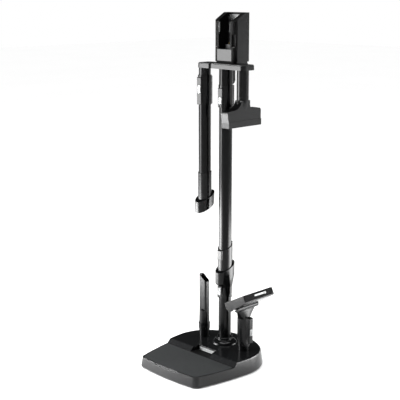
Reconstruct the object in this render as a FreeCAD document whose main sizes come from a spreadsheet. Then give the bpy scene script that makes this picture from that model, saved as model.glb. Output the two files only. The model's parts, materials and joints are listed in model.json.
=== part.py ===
import FreeCAD, Part

# Free-standing dock for a cordless stick vacuum, with the four attachments it carries.
# Millimetres. +Z is up, -Y is the front, where the vacuum's floor head parks on the deck.
# The origin is on the floor, on the axis of the post, at the middle of the rubber foot below it.

import math
import os
import Sketcher
from FreeCAD import Placement, Rotation, Vector

doc = FreeCAD.newDocument("accessory_stand")
sheet = doc.addObject("Spreadsheet::Sheet", "dims")
nodes = []


# ---------------------------------------------------------------- driving dimensions

class Dim:
    """A size that remembers the spreadsheet formula it comes from."""

    def __init__(self, value, formula):
        self.value = float(value)
        self.formula = formula

    def _joined(self, other, sign, value):
        return Dim(value, f"({self.formula} {sign} {formula_of(other)})")

    def __add__(self, other):
        return self._joined(other, "+", self.value + number(other))

    def __sub__(self, other):
        return self._joined(other, "-", self.value - number(other))

    def __mul__(self, other):
        return self._joined(other, "*", self.value * number(other))

    def __truediv__(self, other):
        return self._joined(other, "/", self.value / number(other))

    def __neg__(self):
        return Dim(-self.value, f"(-1 * {self.formula})")

    def __rmul__(self, other):
        return Dim(other * self.value, f"({other} * {self.formula})")

    def __radd__(self, other):
        return Dim(other + self.value, f"({other} + {self.formula})")

    def __rsub__(self, other):
        return Dim(other - self.value, f"({other} - {self.formula})")


def number(size):
    return size.value if isinstance(size, Dim) else float(size)


def formula_of(size):
    return size.formula if isinstance(size, Dim) else f"{size:g}"


rows = []


def dim(alias, value, note):
    """One row of the sheet: what it is, its number and its alias."""
    row = len(rows) + 1
    rows.append(alias)
    sheet.set(f"A{row}", note)
    sheet.set(f"B{row}", f"{value:g}")
    sheet.setAlias(f"B{row}", alias)
    return Dim(value, f"dims.{alias}")


clearance = dim("clearance", 0.3, "gap between pieces that slide on each other")
press_travel = dim("press_travel", 2.5, "stroke of a release button")

deck_top = dim("deck_top", 34, "height of the low front deck")
block_top = dim("block_top", 47, "height of the raised rear block")
shell_foot = dim("shell_foot", 1.5, "gap between the base shell and the floor")
base_wall = dim("base_wall", 4, "wall of the base shell")
base_draft = dim("base_draft", 6, "how far the base's sides lean in from foot to top")
half_front = dim("half_front", 118, "half width of the base at its front corners")
half_widest = dim("half_widest", 151, "half width of the base at its widest")
front_y = dim("front_y", -241.5, "front edge of the base beside its corners")
front_bow = dim("front_bow", 6, "how far the front edge bows out at its middle")
widest_y = dim("widest_y", -45, "where the base is widest")
rear_y = dim("rear_y", 86, "rear edge of the base")
block_front = dim("block_front", -106, "foot of the block's sloped front")
block_slope = dim("block_slope", 12, "run of the block's sloped front")
notch_half = dim("notch_half", 40, "half width of the notch in the block")
notch_back = dim("notch_back", -72, "back wall of the notch")

post_radius = dim("post_radius", 19, "radius of the post tubes")
post_wall = dim("post_wall", 1.5, "wall of the post tubes")
lower_end = dim("lower_end", 207, "top of the lower post tube")
bell_foot = dim("bell_foot", 224, "foot of the oval elbow bell")
bell_rim = dim("bell_rim", 284.5, "rim height of the elbow bell on the post axis")
sleeve_top = dim("sleeve_top", 347, "top of the elbow sleeve on the post axis")
upper_end = dim("upper_end", 775, "top of the upper post tube")
collar_foot = dim("collar_foot", 760, "foot of the upper connector's ring")
upper_foot = dim("upper_foot", 768, "foot of the upper connector")
upper_top = dim("upper_top", 823, "top of the upper connector")

bar_foot = dim("bar_foot", 869, "underside of the crossbar")
bar_top = dim("bar_top", 881, "top of the crossbar body")
cover_top = dim("cover_top", 884, "top of the crossbar's cover")
bar_half = dim("bar_half", 92, "half length of the crossbar")
bar_front = dim("bar_front", -27, "front face of the crossbar's end pads")
bar_back = dim("bar_back", 25, "back face of the crossbar's end pads")
pad_inner = dim("pad_inner", 43, "inner edge of the end pads")
hang_x = dim("hang_x", 75, "distance of the two hanging places from the post")
hang_y = dim("hang_y", -10, "depth of the two hanging places")

dock_foot = dim("dock_foot", 889, "underside of the dock head")
dock_top = dim("dock_top", 1026, "top of the dock head at its back")
dock_front_top = dim("dock_front_top", 1002, "top of the dock head at its front")
dock_half = dim("dock_half", 42, "half width of the dock head")
dock_front = dim("dock_front", -8, "front face of the dock head")
dock_back = dim("dock_back", 53, "back face of the dock head")
dock_corner = dim("dock_corner", 13, "radius of the dock head's front corners")
channel_floor = dim("channel_floor", 925, "floor of the dock's open channel")
channel_half = dim("channel_half", 27, "half width of the channel")
lip_half = dim("lip_half", 22, "half opening between the channel's front lips")
channel_back = dim("channel_back", 41, "back wall of the channel")

wand_radius = dim("wand_radius", 18, "radius of the hanging wand's tube")
wand_foot = dim("wand_foot", 563, "top of the dusting brush's sleeve on the wand")
wand_rim = dim("wand_rim", 489.5, "rim height of the dusting brush bell on the wand's axis")
oval_half_x = dim("oval_half_x", 24, "half width of an oval bell")
oval_half_y = dim("oval_half_y", 36, "half length of an oval bell")
oval_tilt = dim("oval_tilt", 24, "tilt of the oval bells, front edge low, in degrees")

peg_x = dim("peg_x", 82, "distance of the two pegs from the post")
peg_y = dim("peg_y", -5, "depth of the two pegs")
crevice_tip = dim("crevice_tip", 244, "tip of the crevice tool")
crevice_wide = dim("crevice_wide", 29, "width of the crevice tool")
crevice_deep = dim("crevice_deep", 19, "depth of the crevice tool")

nozzle_foot = dim("nozzle_foot", 714, "lower edge of the upholstery nozzle")
nozzle_half = dim("nozzle_half", 13, "half thickness of the upholstery nozzle's head")
nozzle_front = dim("nozzle_front", -82, "front end of the nozzle's head")
nozzle_back = dim("nozzle_back", 52.5, "back end of the nozzle's head")

pivot_x = dim("pivot_x", 92, "hinge of the mini brush head")
pivot_z = dim("pivot_z", 184, "height of that hinge")
head_tilt = dim("head_tilt", 28, "tilt of the parked mini brush head, in degrees")
head_y = dim("head_y", -5, "middle of the mini brush head")
head_half = dim("head_half", 58, "half length of the mini brush head between its end caps")
cap_thick = dim("cap_thick", 4, "thickness of an end cap")
roll_u = dim("roll_u", 48, "brush roll axis, forward of the hinge")
roll_w = dim("roll_w", 18, "brush roll axis, above the hinge")

doc.recompute()


# ---------------------------------------------------------------- building helpers

def bind(thing, path, size):
    """Tie one property of an object to the sheet."""
    if isinstance(size, Dim):
        thing.setExpression(path, size.formula)
    elif "." in path:
        raise ValueError(f"{path} wants a driving dimension")
    else:
        setattr(thing, path, size)


def place(thing, at, turn=Rotation()):
    """Put an object at a point whose coordinates may come from the sheet."""
    thing.Placement = Placement(Vector(*[number(size) for size in at]), turn)
    for axis, size in zip("xyz", at):
        if isinstance(size, Dim):
            thing.setExpression(f"Placement.Base.{axis}", size.formula)
    return thing


def node(thing, label):
    """Give a finished sub-part its name and keep it for the export."""
    thing.Label = label
    nodes.append(thing)
    return thing


ALONG_X = Rotation(Vector(0, 1, 0), 90)
ALONG_Y = Rotation(Vector(1, 0, 0), -90)


def cylinder(name, radius, height, at, turn=Rotation()):
    solid = doc.addObject("Part::Cylinder", name)
    bind(solid, "Radius", radius)
    bind(solid, "Height", height)
    return place(solid, at, turn)


def cone(name, radius_low, radius_high, height, at, turn=Rotation()):
    solid = doc.addObject("Part::Cone", name)
    bind(solid, "Radius1", radius_low)
    bind(solid, "Radius2", radius_high)
    bind(solid, "Height", height)
    return place(solid, at, turn)


def box(name, low, high):
    """A box between two corners."""
    solid = doc.addObject("Part::Box", name)
    for side, start, end in zip(("Length", "Width", "Height"), low, high):
        bind(solid, side, end - start)
    return place(solid, low)


def fuse(name, pieces):
    joined = doc.addObject("Part::MultiFuse", name)
    joined.Shapes = pieces
    joined.Refine = True
    return joined


def cut(name, base, *tools):
    result = doc.addObject("Part::Cut", name)
    result.Base = base
    result.Tool = tools[0] if len(tools) == 1 else fuse(f"{name}_tools", list(tools))
    result.Refine = True
    return result


def rounded(name, base, radius, wanted):
    """Round the edges of a solid that a test picks out."""
    doc.recompute()
    edges = [i + 1 for i, edge in enumerate(base.Shape.Edges) if wanted(edge)]
    result = doc.addObject("Part::Fillet", name)
    result.Base = base
    result.Edges = [(i, radius, radius) for i in edges]
    return result


def tube(name, outer, inner, at, length):
    """A round tube standing on a point."""
    x, y, z = at
    skin = cylinder(f"{name}_skin", outer, length, at)
    bore = cylinder(f"{name}_bore", inner, length + 2, (x, y, z - 1))
    return cut(f"{name}_tube", skin, bore)


PLANES = {"XY": "XY_Plane", "XZ": "XZ_Plane", "YZ": "YZ_Plane"}


def new_body(name):
    return doc.addObject("PartDesign::Body", name)


def sketch(body, plane, name, offset=0.0):
    """A sketch on one of the body's own origin planes, moved along the plane's normal."""
    drawn = body.newObject("Sketcher::SketchObject", name)
    role = PLANES[plane]
    support = [item for item in body.Origin.OriginFeatures if item.Role == role][0]
    drawn.AttachmentSupport = [(support, "")]
    drawn.MapMode = "FlatFace"
    drawn.AttachmentOffset = Placement(Vector(0, 0, number(offset)), Rotation())
    if isinstance(offset, Dim):
        drawn.setExpression("AttachmentOffset.Base.z", offset.formula)
    return drawn


def pin_down(drawn, geometry, vertex, point):
    """Hold one vertex of a sketch at its coordinates."""
    for kind, axis, size in (("DistanceX", -2, point[0]), ("DistanceY", -1, point[1])):
        if number(size) == 0:
            drawn.addConstraint(Sketcher.Constraint("PointOnObject", geometry, vertex, axis))
            continue
        held = Sketcher.Constraint(kind, -1, 1, geometry, vertex, number(size))
        index = drawn.addConstraint(held)
        if isinstance(size, Dim):
            drawn.setExpression(f"Constraints[{index}]", size.formula)


def outline(drawn, start, steps):
    """Close a profile. A step is the end of a line, or the middle and end of an arc."""
    def flat(point):
        return Vector(number(point[0]), number(point[1]), 0)

    joints = []
    here = start
    for step in steps:
        is_arc = isinstance(step[0], tuple)
        end = step[1] if is_arc else step
        if is_arc:
            curve = Part.Arc(flat(here), flat(step[0]), flat(end))
        else:
            curve = Part.LineSegment(flat(here), flat(end))
        index = drawn.addGeometry(curve)
        starts_first = (drawn.getPoint(index, 1) - flat(here)).Length < 1e-6
        first, last = (1, 2) if starts_first else (2, 1)
        joints.append((index, first, last))
        pin_down(drawn, index, first, here)
        if is_arc:
            crown = drawn.addGeometry(Part.Point(flat(step[0])), True)
            pin_down(drawn, crown, 1, step[0])
            drawn.addConstraint(Sketcher.Constraint("PointOnObject", crown, 1, index))
        here = end
    for (index, _, last), (after, first, _) in zip(joints, joints[1:] + joints[:1]):
        drawn.addConstraint(Sketcher.Constraint("Coincident", index, last, after, first))
    return drawn


def pad(body, drawn, length, name, both_ways=False, backwards=False):
    raised = body.newObject("PartDesign::Pad", name)
    raised.Profile = drawn
    bind(raised, "Length", length)
    raised.Midplane = both_ways
    raised.Reversed = backwards
    body.Tip = raised
    return raised


def pocket(body, drawn, length, name, both_ways=False, backwards=False):
    """Cut a profile out of a body, and check that the cut took something away."""
    doc.recompute()
    before = body.Shape.Volume
    hollow = body.newObject("PartDesign::Pocket", name)
    hollow.Profile = drawn
    bind(hollow, "Length", length)
    hollow.Midplane = both_ways
    hollow.Reversed = backwards
    body.Tip = hollow
    doc.recompute()
    if body.Shape.Volume > before - 1:
        raise RuntimeError(f"{name} cut nothing")
    return hollow


def revolved(name, profile):
    """A body turned about the vertical axis from a profile of radius and height."""
    body = new_body(name)
    drawn = outline(sketch(body, "XZ", f"{name}_profile"), profile[0], profile[1:] + profile[:1])
    turned = body.newObject("PartDesign::Revolution", f"{name}_turn")
    turned.Profile = drawn
    turned.ReferenceAxis = (drawn, ["V_Axis"])
    turned.Angle = 360
    body.Tip = turned
    return body


def slab(name, start, steps, foot, height):
    """A body raised from a plan outline."""
    body = new_body(name)
    drawn = outline(sketch(body, "XY", f"{name}_plan", foot), start, steps)
    pad(body, drawn, height, f"{name}_pad")
    return body


def side_slab(name, start, steps, half_thickness):
    """A body whose outline is drawn from the side, in Y and Z, and thickened both ways in X."""
    body = new_body(name)
    drawn = outline(sketch(body, "YZ", f"{name}_side"), start, steps)
    pad(body, drawn, half_thickness * 2, f"{name}_pad", both_ways=True)
    return body


def rectangle(low, high):
    """Start and steps of a rectangle between two corners."""
    start = (low[0], low[1])
    return start, [(high[0], low[1]), (high[0], high[1]), (low[0], high[1]), start]


# ---------------------------------------------------------------- base

def base_plan(inset):
    """The base from above: a bowed front, flared convex sides and a round rear."""
    front = front_y + inset
    corner_x = half_front - 16 - inset * 0.4
    side_x = half_front + 4 - inset
    widest = half_widest - inset
    rear_x = 99 - inset * 0.7
    rear = 57 - inset * 0.7
    start = (-corner_x, front)
    steps = [
        ((0, front - front_bow), (corner_x, front)),
        ((half_front - 2.5 - inset * 0.75, front + 6), (side_x, front + 21 - inset * 0.3)),
        ((half_front + 21.5 - inset, -140), (widest, widest_y)),
        ((half_widest - 11.5 - inset * 0.9, 9 - inset * 0.3), (rear_x, rear)),
        ((0, rear_y - inset), (-rear_x, rear)),
        ((-half_widest + 11.5 + inset * 0.9, 9 - inset * 0.3), (-widest, widest_y)),
        ((-half_front - 21.5 + inset, -140), (-side_x, front + 21 - inset * 0.3)),
        ((-half_front + 2.5 + inset * 0.75, front + 6), start),
    ]
    return start, steps


def make_base_shell():
    """Moulded shell: low deck, raised block with a sloped front, notch, and a hollow underside."""
    body = new_body("shell_body")
    levels = [(3, shell_foot), (0, shell_foot + 5), (base_draft - 0.4, block_top - 3),
              (base_draft + 2, block_top)]
    sections = [outline(sketch(body, "XY", f"shell_section_{i}", height), *base_plan(inset))
                for i, (inset, height) in enumerate(levels)]
    skin = body.newObject("PartDesign::AdditiveLoft", "shell_skin")
    skin.Profile = sections[0]
    skin.Sections = sections[1:]
    skin.Ruled = True
    body.Tip = skin
    step_side = sketch(body, "YZ", "base_step_side")
    slope_top = (block_front + block_slope, block_top)
    outline(step_side, (-260, deck_top), [
        (block_front, deck_top), slope_top, (block_front + block_slope, block_top + 5),
        (-260, block_top + 5), (-260, deck_top)])
    pocket(body, step_side, half_widest * 3, "base_step", both_ways=True)
    notch = sketch(body, "XY", "base_notch_plan", block_top)
    flank = notch_half - 4
    outline(notch, (-notch_half, block_front - 1), [
        (notch_half, block_front - 1), (flank, notch_back), (-flank, notch_back),
        (-notch_half, block_front - 1)])
    pocket(body, notch, block_top - deck_top, "base_notch")
    hollow = sketch(body, "XY", "base_hollow_plan", shell_foot)
    outline(hollow, *base_plan(base_wall + base_draft))
    pocket(body, hollow, deck_top - shell_foot - base_wall - 1.5, "base_hollow", backwards=True)
    inlay = sketch(body, "XY", "base_inlay_plan", deck_top)
    outline(inlay, *deck_plan(8))
    pocket(body, inlay, 1.2, "base_inlay")
    badge = sketch(body, "XY", "base_badge_plan", deck_top)
    outline(badge, *rectangle((-45, front_y - 7), (45, front_y + 1.5)))
    pocket(body, badge, 4, "base_badge_slot")
    return body


def deck_plan(inset):
    """The matte panel on the deck, in front of the block."""
    front = front_y + inset
    corner_x = half_front - 16 - inset * 0.4
    side_x = half_front + 4 - inset
    back_x = half_front + 25.5 - inset
    back = block_front - 1.5
    start = (-corner_x, front)
    steps = [
        ((0, front - front_bow), (corner_x, front)),
        ((half_front - 2.5 - inset * 0.75, front + 6), (side_x, front + 21 - inset * 0.3)),
        ((half_front + 18.5 - inset, -160), (back_x, back)),
        (-back_x, back),
        ((-half_front - 18.5 + inset, -160), (-side_x, front + 21 - inset * 0.3)),
        ((-half_front + 2.5 + inset * 0.75, front + 6), start),
    ]
    return start, steps


panel_drop = 1.2
node(slab("deck_panel_body", *deck_plan(8.2), deck_top - panel_drop, panel_drop), "deck_panel")

# Under the deck: the steel ballast, the cover that keeps it in, and what stands on the floor.
cover_foot = shell_foot + 0.5
ballast_foot = cover_foot + 3

FOOT_PLACES = [(0, 0), (-96, -205), (96, -205), (-118, -40), (118, -40), (0, 58), (0, -222)]


def make_feet():
    """Seven rubber pads pressed on the bottom cover; one lies under the post."""
    pads = []
    for number_of, (x, y) in enumerate(FOOT_PLACES):
        pads.append(cylinder(f"foot_{number_of}", 11, cover_foot, (x, y, 0)))
    return fuse("feet", pads)


node(make_feet(), "rubber_feet")


def screw(name, at, length, head_radius=3.6, down=False):
    """A pan-head screw with a cross recess; it points up unless it is turned down."""
    turn = Rotation(Vector(1, 0, 0), 180) if down else Rotation()
    x, y, z = at
    sign = -1 if down else 1
    shank = cylinder(f"{name}_shank", 1.7, length, (x, y, z + sign * 2), turn)
    head = cone(f"{name}_head", head_radius - 0.6, head_radius, 2, (x, y, z), turn)
    long_slot = box(f"{name}_slot_a", (x - 2.2, y - 0.4, z - 1), (x + 2.2, y + 0.4, z + 1))
    cross_slot = box(f"{name}_slot_b", (x - 0.4, y - 2.2, z - 1), (x + 0.4, y + 2.2, z + 1))
    return cut(f"{name}_whole", fuse(f"{name}_body", [shank, head]), long_slot, cross_slot)


def drills(name, places, radius, foot, height):
    """Upright cylinders at several places, to cut with or to add as bosses."""
    made = [cylinder(f"{name}_{i}", radius, height, (x, y, foot)) for i, (x, y) in enumerate(places)]
    return fuse(name, made)


SCREW_PLACES = [(-100, -150), (100, -150), (-50, -215), (50, -215), (-70, 35), (70, 35)]
PEG_PLACES = [(-peg_x, peg_y), (peg_x, peg_y)]
roof = deck_top - base_wall - 1.5


def make_drilled_shell():
    """The shell with its screw bosses and with the holes for the post bolt and the pegs."""
    bosses = drills("shell_boss", SCREW_PLACES, 5, ballast_foot, roof - ballast_foot + 1)
    solid = fuse("shell_solid", [make_base_shell(), bosses])
    screw_holes = drills("shell_screw_hole", SCREW_PLACES, 1.7, ballast_foot - 1, 15)
    bolt_hole = cylinder("shell_bolt_hole", 4.1, 25, (0, 0, roof - 1))
    peg_holes = drills("shell_peg_hole", PEG_PLACES, 1.8, roof - 1, 25)
    return cut("shell_drilled", solid, screw_holes, bolt_hole, peg_holes)


def make_bottom_cover():
    """Flat cover with sunk holes for the screws."""
    plate = slab("bottom_cover_body", *base_plan(base_wall + base_draft + 0.5), cover_foot, 3)
    sinks = drills("cover_sink", SCREW_PLACES, 3.3, cover_foot - 1, 3.3)
    holes = drills("cover_hole", SCREW_PLACES, 1.9, cover_foot - 1, 6)
    return cut("cover_drilled", plate, sinks, holes)


def make_ballast():
    """Steel plate that keeps the stand upright."""
    plate = slab("ballast_body", *base_plan(20), ballast_foot, 8)
    return cut("ballast_drilled", plate, drills("ballast_hole", SCREW_PLACES, 5.3, 0, 30))


node(make_drilled_shell(), "base_shell")
node(make_bottom_cover(), "bottom_cover")
node(make_ballast(), "ballast_plate")
cover_screws = [(x, y, 2.2) for x, y in SCREW_PLACES]
node(fuse("base_screw_set", [screw(f"base_screw_{i}", at, 13, 3)
                             for i, at in enumerate(cover_screws)]), "base_screws")


def make_ribbed_stop():
    """Rubber stop at the back of the notch, ribbed where the floor head rests on it."""
    half = notch_half - 9
    plate = box("stop_plate", (-half, notch_back - 3, deck_top), (half, notch_back, block_top - 2))
    ribs = []
    for i in range(3):
        low = deck_top + 1.5 + i * 3.4
        ribs.append(box(f"stop_rib_{i}", (1 - half, notch_back - 4.6, low),
                        (half - 1, notch_back - 2, low + 1.6)))
    return fuse("stop_whole", [plate] + ribs)


node(make_ribbed_stop(), "ribbed_stop")


# ---------------------------------------------------------------- foot of the post, and the pegs

def make_post_flange():
    """Stepped dome around the foot of the post."""
    bore = post_radius + 0.1
    return revolved("post_flange_body", [
        (bore, block_top), (post_radius * 2, block_top),
        ((post_radius + 15, block_top + 6.2), (post_radius + 5.5, block_top + 10)),
        (post_radius + 4, block_top + 11.5), (post_radius + 3.6, block_top + 18),
        (post_radius + 2.4, block_top + 19), (bore, block_top + 19)])


node(make_post_flange(), "post_flange")
node(tube("post_anchor", post_radius - post_wall - 0.1, 4.1, (0, 0, block_top), 48), "post_anchor")


def make_anchor_bolt():
    """Hexagon-headed bolt that pulls the post down on the block."""
    head = doc.addObject("Part::Prism", "anchor_head")
    head.Polygon, head.Circumradius, head.Height = 6, 8, 5.5
    place(head, (0, 0, roof - 5.5))
    return fuse("anchor_bolt_whole", [head, cylinder("anchor_shank", 4, 62, (0, 0, roof - 1))])


node(make_anchor_bolt(), "anchor_bolt")


def make_peg(name, side, radius, height):
    """Upright peg with a flared foot, bored from below for its screw."""
    at = (peg_x * side, peg_y, block_top)
    flare = cone(f"{name}_flare", radius, radius - 0.5, 3, at)
    stem = cylinder(f"{name}_stem", radius - 0.5, height - 3, at)
    tip = cone(f"{name}_tip", radius - 0.5, radius - 3, 3, (at[0], at[1], block_top + height - 3))
    bore = cylinder(f"{name}_bore", 1.7, 14, (at[0], at[1], block_top - 1))
    return cut(f"{name}_whole", fuse(f"{name}_solid", [flare, stem, tip]), bore)


node(make_peg("crevice_peg", -1, 9, 48), "crevice_peg")
node(make_peg("brush_peg", 1, 12, 58), "brush_peg")
peg_screws = [(x, y, roof - 2) for x, y in PEG_PLACES]
node(fuse("peg_screw_set", [screw(f"peg_screw_{i}", at, 28, 3.4)
                            for i, at in enumerate(peg_screws)]), "peg_screws")


# ---------------------------------------------------------------- sprung release buttons

class Latch:
    """A release button in the face of a raised block, with the hole and spring behind it.

    It is built about an upright axis with the face towards -Y, then turned and moved into place.
    """

    def __init__(self, name, face, low, high, at=(0, 0, 0), turn=Rotation()):
        self.name, self.face, self.low, self.high = name, face, low, high
        self.at, self.turn = at, turn

    def _slab(self, part, half, front, back, spare):
        """A box behind the face, from front to back, spare beyond the button up and down."""
        low, high = self.low - spare, self.high + spare
        return box(f"{self.name}_{part}", (-half, front - self.face, low),
                   (half, back - self.face, high))

    def _placed(self, thing):
        place(thing, self.at, self.turn)
        return thing

    def hollow(self):
        """Window in the face, and a wider pocket behind it."""
        window = self._slab("window", 6.3, -3, 3, 0.3)
        room = self._slab("room", 7.6, 2, press_travel + 4.8, 1.3)
        return self._placed(fuse(f"{self.name}_hollow", [window, room]))

    def button(self):
        """Ribbed cap that stands proud of the window, with a flange that keeps it in."""
        cap = self._slab("cap", 6, -0.8, 2.6, 0)
        front = -self.face - 0.8
        soft = rounded(f"{self.name}_soft", cap, 1.2, lambda edge: edge.BoundBox.YMax < front + 0.01)
        flange = self._slab("flange", 7.3, 2.3, 3.8, 1)
        middle = (self.low + self.high) / 2
        grooves = []
        for i in range(3):
            level = middle + (i - 1) * 3.2
            grooves.append(box(f"{self.name}_groove_{i}", (-4, front - 1, level - 0.6),
                               (4, front + 0.6, level + 0.6)))
        whole = fuse(f"{self.name}_solid", [soft, flange])
        return self._placed(cut(f"{self.name}_whole", whole, *grooves))

    def spring(self):
        """Bowed leaf between the flange and the back of the pocket."""
        back = 7.2 - self.face
        middle = (self.low + self.high) / 2
        half = (self.high - self.low) / 2 - 1
        body = new_body(f"{self.name}_leaf")
        drawn = sketch(body, "YZ", f"{self.name}_leaf_side")
        outline(drawn, (back - 0.5, middle - half), [
            ((back - 3.2, middle), (back - 0.5, middle + half)), (back, middle + half),
            ((back - 2.7, middle), (back, middle - half)), (back - 0.5, middle - half)])
        pad(body, drawn, 6, f"{self.name}_leaf_pad", both_ways=True)
        return self._placed(body)


def rail(name, half, y_low, y_high, low, high, radius, face_low=True):
    """A raised block along a barrel, rounded all round its outer face."""
    solid = box(name, (-half, y_low, low), (half, y_high, high))
    outer = number(y_low if face_low else y_high)

    def on_face(edge):
        return abs(edge.BoundBox.YMin - outer) < 0.01 and abs(edge.BoundBox.YMax - outer) < 0.01

    return rounded(f"{name}_soft", solid, radius, on_face)


def half_space(name, at, lean):
    """A block that stands on a leaning plane through a point, to cut off all above it."""
    corner = lean.multVec(Vector(-100, -100, 0))
    blade = doc.addObject("Part::Box", name)
    blade.Length, blade.Width, blade.Height = 200, 200, 120
    blade.Placement = Placement(corner + Vector(*[number(size) for size in at]), lean)
    return blade


def leaning(axis, tilt):
    return Rotation(Vector(*axis), number(tilt))


def ring_curve(name, half_x, half_y, at, tilt=0):
    """A circle or an upright-facing ellipse, dipping to the front by a tilt."""
    turn = Rotation(Vector(1, 0, 0), number(tilt)) * Rotation(Vector(0, 0, 1), 90)
    if number(half_x) == number(half_y):
        curve = doc.addObject("Part::Circle", name)
        bind(curve, "Radius", half_x)
    else:
        curve = doc.addObject("Part::Ellipse", name)
        bind(curve, "MajorRadius", half_y)
        bind(curve, "MinorRadius", half_x)
    return place(curve, at, turn)


def loft(name, curves):
    """A solid drawn straight from curve to curve."""
    skin = doc.addObject("Part::Loft", name)
    skin.Sections = curves
    skin.Solid = True
    skin.Ruled = True
    return skin


# ---------------------------------------------------------------- post

bore_radius = post_radius - post_wall
upper_seat = upper_end + 20
head_seat = upper_seat + 2
latch_face = 24.2
lower_latch = Latch("lower_latch", latch_face, 200, 222)
upper_latch = Latch("upper_latch", latch_face, 770, 790)


def make_post_tube(name, foot, top, notch_low=None, notch_high=None):
    """A post tube; its end is notched where a latch reaches into it."""
    whole = tube(name, post_radius, bore_radius, (0, 0, foot), top - foot)
    if notch_low is None:
        return whole
    gap = box(f"{name}_notch", (-8.2, -post_radius - 1, notch_low), (8.2, -10, notch_high))
    return cut(f"{name}_notched", whole, gap)


def make_lower_connector():
    """Connector between the lower tube and the elbow, with a raised latch block in front."""
    foot = lower_end - 14
    ring = cylinder("lower_conn_ring", post_radius + 2.6, 4, (0, 0, foot - 2))
    barrel = cylinder("lower_conn_barrel", post_radius + 2, bell_foot - foot, (0, 0, foot))
    front = rail("lower_conn_front", 9, -latch_face, -12, foot - 1, bell_foot + 10, 2)
    back = rail("lower_conn_back", 8, 10, 25, foot + 4, bell_foot + 6, 3, face_low=False)
    bore = cylinder("lower_conn_bore", post_radius + 0.05, lower_end - foot + 3, (0, 0, foot - 3))
    core = cylinder("lower_conn_core", bore_radius - 0.1, bell_foot - foot + 3, (0, 0, foot - 3))
    socket = cut("lower_conn_socket", fuse("lower_conn_solid", [ring, barrel, front, back]), bore)
    return cut("lower_conn_whole", fuse("lower_conn_joined", [socket, core]), lower_latch.hollow())


node(make_post_tube("lower_post", block_top, lower_end, 190, 210), "lower_tube")
lower_connector = make_lower_connector()


def make_elbow_bell():
    """Oval bell that the elbow swells into, its mouth tilted down to the front."""
    mouth = ring_curve("bell_mouth", oval_half_x, oval_half_y, (0, 0, bell_rim), oval_tilt)
    waist = ring_curve("bell_waist", oval_half_x, oval_half_y, (0, 0, bell_rim - 36), oval_tilt)
    foot = ring_curve("bell_foot_ring", post_radius + 3, post_radius + 3, (0, 0, bell_foot))
    solid = loft("bell_loft", [foot, waist, mouth])
    socket = cylinder("bell_socket", 21.5, 80, (0, 0, 240))
    return cut("bell_whole", solid, socket)


elbow_bell = make_elbow_bell()
node(cut("lower_connector_cleared", lower_connector, elbow_bell), "lower_connector")
node(elbow_bell, "elbow_bell")
node(lower_latch.button(), "lower_button")


def make_elbow_sleeve():
    """Sleeve that stands in the bell and holds the upper tube, cut on the slant at its top."""
    barrel = cylinder("sleeve_barrel", 21.4, 130, (0, 0, 240))
    front = rail("sleeve_front", 9, -25, -12, 308, 360, 2)
    back = rail("sleeve_back", 8, 10, 26, 298, 380, 3, face_low=False)
    solid = fuse("sleeve_solid", [barrel, front, back])
    bore = cylinder("sleeve_bore", post_radius + 0.05, 200, (0, 0, 244))
    slant = half_space("sleeve_slant", (0, 0, sleeve_top), leaning((1, 0, 0), oval_tilt))
    return cut("sleeve_whole", solid, bore, slant)


node(make_elbow_sleeve(), "elbow_sleeve")
node(make_post_tube("upper_post", 244, upper_seat, 766, 794), "upper_tube")


def make_upper_connector():
    """Connector between the upper tube and the head tube, which stand on a web inside it."""
    ring = cylinder("upper_conn_ring", post_radius + 2.8, upper_foot - collar_foot, (0, 0, collar_foot))
    barrel = cylinder("upper_conn_barrel", post_radius + 2, upper_top - upper_foot, (0, 0, upper_foot))
    front = rail("upper_conn_front", 9, -latch_face, -12, upper_foot - 1.5, 815, 2)
    back = rail("upper_conn_back", 8, 10, 29, upper_foot - 4, upper_top - 1, 4, face_low=False)
    solid = fuse("upper_conn_solid", [ring, barrel, front, back])
    low_bore = cylinder("upper_conn_low_bore", post_radius + 0.05, upper_seat - collar_foot + 1,
                        (0, 0, collar_foot - 1))
    high_bore = cylinder("upper_conn_high_bore", post_radius + 0.55, 60, (0, 0, head_seat))
    core = cylinder("upper_conn_core", bore_radius - 0.1, head_seat - collar_foot, (0, 0, collar_foot))
    socket = cut("upper_conn_socket", solid, low_bore, high_bore)
    return cut("upper_conn_whole", fuse("upper_conn_joined", [socket, core]), upper_latch.hollow())


node(make_upper_connector(), "upper_connector")
node(upper_latch.button(), "upper_button")
node(fuse("post_springs", [lower_latch.spring(), upper_latch.spring()]), "post_button_springs")


HEAD_SCREW_PLACES = [(-9, -9), (9, -9), (-9, 9), (9, 9)]
STUB_SCREW_PLACES = [(-hang_x - 8, hang_y), (-hang_x + 8, hang_y),
                     (hang_x - 8, hang_y), (hang_x + 8, hang_y)]
ALL_HEAD_PLACES = HEAD_SCREW_PLACES + STUB_SCREW_PLACES


def make_head_tube():
    """Top length of the post, closed at its top where the crossbar is screwed on."""
    skin = cylinder("head_skin", post_radius + 0.5, bar_foot - head_seat, (0, 0, head_seat))
    bore = cylinder("head_bore", bore_radius, bar_foot - head_seat - 18, (0, 0, head_seat - 1))
    holes = drills("head_hole", HEAD_SCREW_PLACES, 1.7, bar_foot - 15, 16)
    return cut("head_whole", skin, bore, holes)


node(make_head_tube(), "head_tube")


def make_conduit():
    """Rib behind the head tube that hides the charging lead; its foot is pointed."""
    body = new_body("conduit_body")
    drawn = sketch(body, "YZ", "conduit_side")
    inner = post_radius + 0.5
    outline(drawn, (inner - 3, upper_top + 1), [
        (inner + 5, upper_top + 1), ((inner + 12, upper_top + 6), (inner + 14.5, upper_top + 18)),
        (inner + 14.5, bar_foot), (inner - 3, bar_foot), (inner - 3, upper_top + 1)])
    pad(body, drawn, 10, "conduit_pad", both_ways=True)
    room = cylinder("conduit_room", inner, 80, (0, 0, upper_top - 5))
    return cut("conduit_whole", body, room)


node(make_conduit(), "cable_conduit")


# ---------------------------------------------------------------- crossbar

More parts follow.
